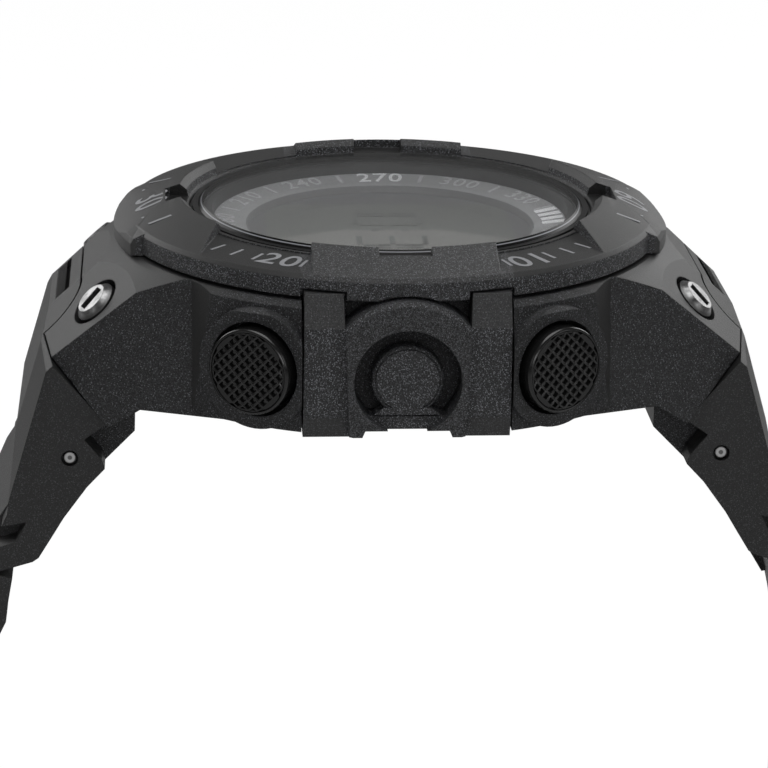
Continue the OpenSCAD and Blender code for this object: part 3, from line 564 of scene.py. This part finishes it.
def gripShape():
    shape = bmesh.new()
    bmesh.ops.create_grid(shape, x_segments=pusher["cells"], y_segments=pusher["cells"],
                          size=pusher["cells"] * pusher["cell"] * mm / 2,
                          matrix=Matrix.Rotation(math.radians(45), 4, "Z"))
    far = [face for face in shape.faces
           if face.calc_center_median().length > (pusher["gripRadius"] + pusher["spare"]) * mm]
    bmesh.ops.delete(shape, geom=far, context="FACES")
    for vert in shape.verts:
        if vert.co.length > pusher["gripRadius"] * mm:
            vert.co *= pusher["gripRadius"] * mm / vert.co.length
    least = (pusher["cell"] * mm) ** 2 * pusher["wholeShare"]
    whole = [face for face in shape.faces if face.calc_area() > least]
    bmesh.ops.inset_individual(shape, faces=whole, thickness=pusher["ridge"] * mm, depth=0)
    crests = [edge for edge in shape.edges if all(len(vert.link_edges) == 8 for vert in edge.verts)]
    bmesh.ops.bisect_edges(shape, edges=crests, cuts=1)
    crossings = [vert for vert in shape.verts if len(vert.link_edges) == 8]
    bmesh.ops.translate(shape, verts=crossings, vec=(0, 0, pusher["node"] * mm))
    bmesh.ops.inset_individual(shape, faces=whole, thickness=pusher["chamfer"] * mm, depth=0)
    for face in whole:
        centre = face.calc_center_median()
        for vert in face.verts:
            vert.co = centre + (vert.co - centre) * pusher["pitShare"] + Vector((0, 0, -pusher["pit"] * mm))
    rim = [edge for edge in shape.edges if edge.is_boundary]
    made = bmesh.ops.extrude_edge_only(shape, edges=rim)["geom"]
    down = [item for item in made if isinstance(item, bmesh.types.BMVert)]
    bmesh.ops.translate(shape, verts=down, vec=(0, 0, -pusher["skirt"] * mm))
    bmesh.ops.recalc_face_normals(shape, faces=shape.faces)
    lay = (Matrix.Translation(((pusher["face"] - pusher["sunk"]) * mm, 0, 0))
           @ Matrix.Rotation(math.radians(90), 4, "Y"))
    bmesh.ops.transform(shape, matrix=lay, verts=shape.verts)
    return shape


for name, angle in pusher["angles"].items():
    aim = Matrix.Translation((0, 0, pusher["height"] * mm)) @ Matrix.Rotation(math.radians(angle), 4, "Z")
    body = "pusher_" + name
    shape = spunShape(capProfile)
    bmesh.ops.transform(shape, matrix=aim, verts=shape.verts)
    cap = addPiece("pusherCap" + name, shape, finishes["pusher_gloss"], body, True)
    cap.data.set_sharp_from_angle(angle=math.radians(35))
    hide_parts(body)
    grip = gripShape()
    bmesh.ops.transform(grip, matrix=aim, verts=grip.verts)
    addPiece("pusherGrip" + name, grip, finishes["pusher_gloss"], body)
print("pushers")

# bezel print: plain minute numbers and ticks, a little above the surface
lift = dict(pocket=0.012, lobe=0.02, dial=0.015)
lip = dict(radius=17.85, width=0.2, height=0.09, halfAngle=21)


def pocketTop(radius):
    return bezel["edgeZ"] + (bezel["edge"] - radius) * bezel["pocketRise"] + lift["pocket"]


def clockAngle(minute):
    return 90 - minute * 6


# print on the ridge and the domed fall of a 12 or 6 o'clock lobe, wrapped round the ring
def wrapLobe(shape, angle, flip=False):
    for vert in wrapRound(shape, bezel["lobeNumber"], angle, lambda radius: 0, flip).verts:
        x, y, z = vert.co
        away = math.hypot(x, y)
        cone = bezel["ridgeZ"] * mm - (away - bezel["ridgeR"] * mm) * bezel["ridgeFall"]
        side = abs(y) - bezel["domeY"] * mm
        dome = math.sqrt((bezel["domeR"] * mm) ** 2 - side ** 2) + bezel["domeZ"] * mm
        vert.co = (x, y, min(cone, dome) + lift["lobe"] * mm + z)
    return shape


# fine raised line round the inner edge of the four pockets
lines = bmesh.new()
for middle in (45, 135, 225, 315):
    start = Matrix.Rotation(math.radians(middle - lip["halfAngle"]), 4, "Z")
    bar = bmesh.new()
    lay = (Matrix.Translation((lip["radius"] * mm, 0, pocketTop(lip["radius"]) * mm))
           @ Matrix.Rotation(math.radians(90), 4, "X")
           @ Matrix.Diagonal((lip["width"] * mm, 2 * lip["height"] * mm, 1, 1)))
    bmesh.ops.create_grid(bar, x_segments=1, y_segments=1, size=0.5, matrix=lay)
    bmesh.ops.transform(bar, matrix=start, verts=bar.verts)
    bmesh.ops.spin(bar, geom=bar.verts[:] + bar.edges[:] + bar.faces[:], cent=(0, 0, 0), axis=(0, 0, 1),
                   angle=math.radians(2 * lip["halfAngle"]), steps=24)
    bmesh.ops.recalc_face_normals(bar, faces=bar.faces)
    joined(lines, bar)
addPiece("bezelLines", lines, finishes["bezel_resin"], "head")

marks = bmesh.new()
for minute in (*range(6, 12), *range(19, 25)):
    if minute % 5:
        bar = barShape(*bezel["tick"])
        joined(marks, wrapRound(bar, bezel["numberR"], clockAngle(minute), pocketTop))
    else:
        words = textShape(str(minute), bezel["numberSize"], 1.05)
        joined(marks, wrapRound(words, bezel["numberR"], clockAngle(minute), pocketTop, minute > 15))
for angle, number in ((90, "60"), (270, "30")):
    joined(marks, wrapLobe(textShape(number, bezel["lobeSize"], 1.1), angle, number == "30"))
    for step in (-3, -2, 2, 3):
        bar = barShape(bezel["lobeTick"][0], bezel["lobeSize"] * bezel["lobeTick"][1])
        joined(marks, wrapLobe(bar, angle + 6 * step))
addPiece("bezelMarks", marks, printPaint, "head")
print("bezel print")

# dial ring print: a plain degree scale
dial = dict(radius=14.1, low=11.6, slope=0.4 / 2.8, inner=12.4, numberSize=1.6, tick=(0.3, 1.6),
            boldSize=1.8, block=(0.8, 1.9), blockStart=102, blockStep=5.2, blocks=4)


def dialTop(radius):
    return dial["low"] + (radius - dial["inner"]) * dial["slope"] + lift["dial"]


scale = bmesh.new()
for degree in range(0, 360, 15):
    angle = 90 - degree
    if degree % 30:
        joined(scale, wrapRound(barShape(*dial["tick"]), dial["radius"], angle, dialTop))
    elif degree not in (0, 270):
        words = textShape(str(degree), dial["numberSize"], 1.15)
        joined(scale, wrapRound(words, dial["radius"], angle, dialTop))
addPiece("dialScale", scale, dialPaint, "head")
bold = textShape("270", dial["boldSize"], 1.1)
addPiece("dialBoldMark", wrapRound(bold, dial["radius"], 180, dialTop), boldPaint, "head")
bars = bmesh.new()
for step in range(dial["blocks"]):
    angle = dial["blockStart"] - dial["blockStep"] * step
    joined(bars, wrapRound(barShape(*dial["block"]), dial["radius"], angle, dialTop))
addPiece("dialBars", bars, boldPaint, "head")
print("dial print")

# display: dim segments of a resting display
display = dict(top=10.915, digit=(3.0, 5.6), bar=0.5, digits="1030", places=(-7.0, -3.2, 3.2, 7.0),
               thick=0.01, dot=0.55, dotUp=1.3)


def digitShape(strokes, width, height, bar):
    shape = bmesh.new()
    spots = {"a": (0, 1, 1), "g": (0, 0, 1), "d": (0, -1, 1), "f": (-1, 0.5, 0), "b": (1, 0.5, 0),
             "e": (-1, -0.5, 0), "c": (1, -0.5, 0)}
    for stroke in strokes:
        across, up, level = spots[stroke]
        size = (width - bar, bar) if level else (bar, height / 2 - bar)
        place = Matrix.Translation((across * width / 2 * mm, up * height / 2 * mm, 0))
        joined(shape, barShape(*size, display["thick"]), place)
    return shape


strokesOf = {"0": "abcdef", "1": "bc", "3": "abgcd"}
segments = bmesh.new()
for across, digit in zip(display["places"], display["digits"]):
    shape = digitShape(strokesOf[digit], *display["digit"], display["bar"])
    joined(segments, shape, Matrix.Translation((across * mm, 0, display["top"] * mm)))
for up in (-display["dotUp"], display["dotUp"]):
    dot = barShape(display["dot"], display["dot"], display["thick"])
    joined(segments, dot, Matrix.Translation((0, up * mm, display["top"] * mm)))
addPiece("displaySegments", segments, segmentInk, "head")
print("display")

# camera at the photograph's angle, for a 768 by 768 picture
view = dict(turn=-3.98, rise=18.18, distance=0.2861, aim=(0, -0.0003, -0.00149), roll=0.84, lens=153.05)
turn, rise = math.radians(view["turn"]), math.radians(view["rise"])
back = Vector((math.cos(turn) * math.cos(rise), math.sin(turn) * math.cos(rise), math.sin(rise)))
lens = bpy.data.cameras.new("camera")
lens.lens = view["lens"]
lens.sensor_width = 36
lens.clip_start = 0.01
camera = bpy.data.objects.new("camera", lens)
bpy.context.scene.collection.objects.link(camera)
camera.matrix_world = (Matrix.Translation(Vector(view["aim"]) + back * view["distance"])
                       @ back.to_track_quat("Z", "Y").to_matrix().to_4x4()
                       @ Matrix.Rotation(math.radians(view["roll"]), 4, "Z"))
bpy.context.scene.camera = camera

# studio: white ground and backdrop, one soft box above, four at the corners and one in front
studio = dict(floorGap=0.0005, floorSize=6.0, floorGrey=0.6, floorGlow=0.92, glow=1.05,
              ambient=0.1, mirror=0.04,
              boxes={"top": (2.6, (0.5, 0.6), (0.05, 0.0, 0.6)),
                     "backLeft": (1.5, (0.45, 0.35), (-0.5, -0.45, 0.3)),
                     "backRight": (1.8, (0.45, 0.35), (-0.5, 0.45, 0.3)),
                     "frontLeft": (0.2, (0.3, 0.3), (0.35, -0.6, 0.25)),
                     "frontRight": (0.45, (0.3, 0.3), (0.35, 0.6, 0.25)),
                     "front": (0.7, (0.3, 0.2), (0.7, 0.04, 0.16))})
for name, (power, size, place) in studio["boxes"].items():
    lamp = bpy.data.lights.new(name + "Box", "AREA")
    lamp.shape = "RECTANGLE"
    lamp.size, lamp.size_y = size
    lamp.energy = power
    holder = bpy.data.objects.new(name + "Box", lamp)
    facing = Vector(place).to_track_quat("Z", "Y").to_matrix().to_4x4()
    holder.matrix_world = Matrix.Translation(place) @ facing
    bpy.context.scene.collection.objects.link(holder)

floorShape = bmesh.new()
bmesh.ops.create_grid(floorShape, x_segments=1, y_segments=1, size=studio["floorSize"] / 2,
                      matrix=Matrix.Translation((0, 0, cadBounds[0][2] - studio["floorGap"])))
floorMesh = bpy.data.meshes.new("floor")
floorShape.to_mesh(floorMesh)
floorShape.free()
floor = bpy.data.objects.new("floor", floorMesh)
bpy.context.scene.collection.objects.link(floor)
ground = Finish("paleFloor", roughness=0.8)
ground.set(Base_Color=grey(studio["floorGrey"]))
seen = ground.node("LightPath", out="Is Camera Ray")
glow = ground.node("Emission", sockets={"Color": grey(1.0), "Strength": studio["glow"]})
matt = Socket(ground, ground.shader.outputs[0])
whole = ground.node("MixShader", sockets={0: seen * studio["floorGlow"], 1: matt, 2: glow})
ground.tree.links.new(whole.socket, ground.tree.nodes["Material Output"].inputs["Surface"])
floorMesh.materials.append(ground.material)

world = bpy.data.worlds.new("studio")
bpy.context.scene.world = world
world.use_nodes = True
sky = Graph(world.node_tree)
backdrop = sky.tree.nodes["Background"]
backdrop.inputs["Color"].default_value = grey(1.0)
direct = sky.node("LightPath", out="Is Camera Ray")
glossy = sky.node("LightPath", out="Is Glossy Ray")
mirrored = glossy.larger(sky.node("LightPath", out="Is Transmission Ray"))
strength = (direct + mirrored * studio["mirror"] + studio["ambient"]).limited()
sky.tree.links.new(strength.socket, backdrop.inputs["Strength"])
bpy.context.scene.view_settings.view_transform = "Standard"
print("camera and light")
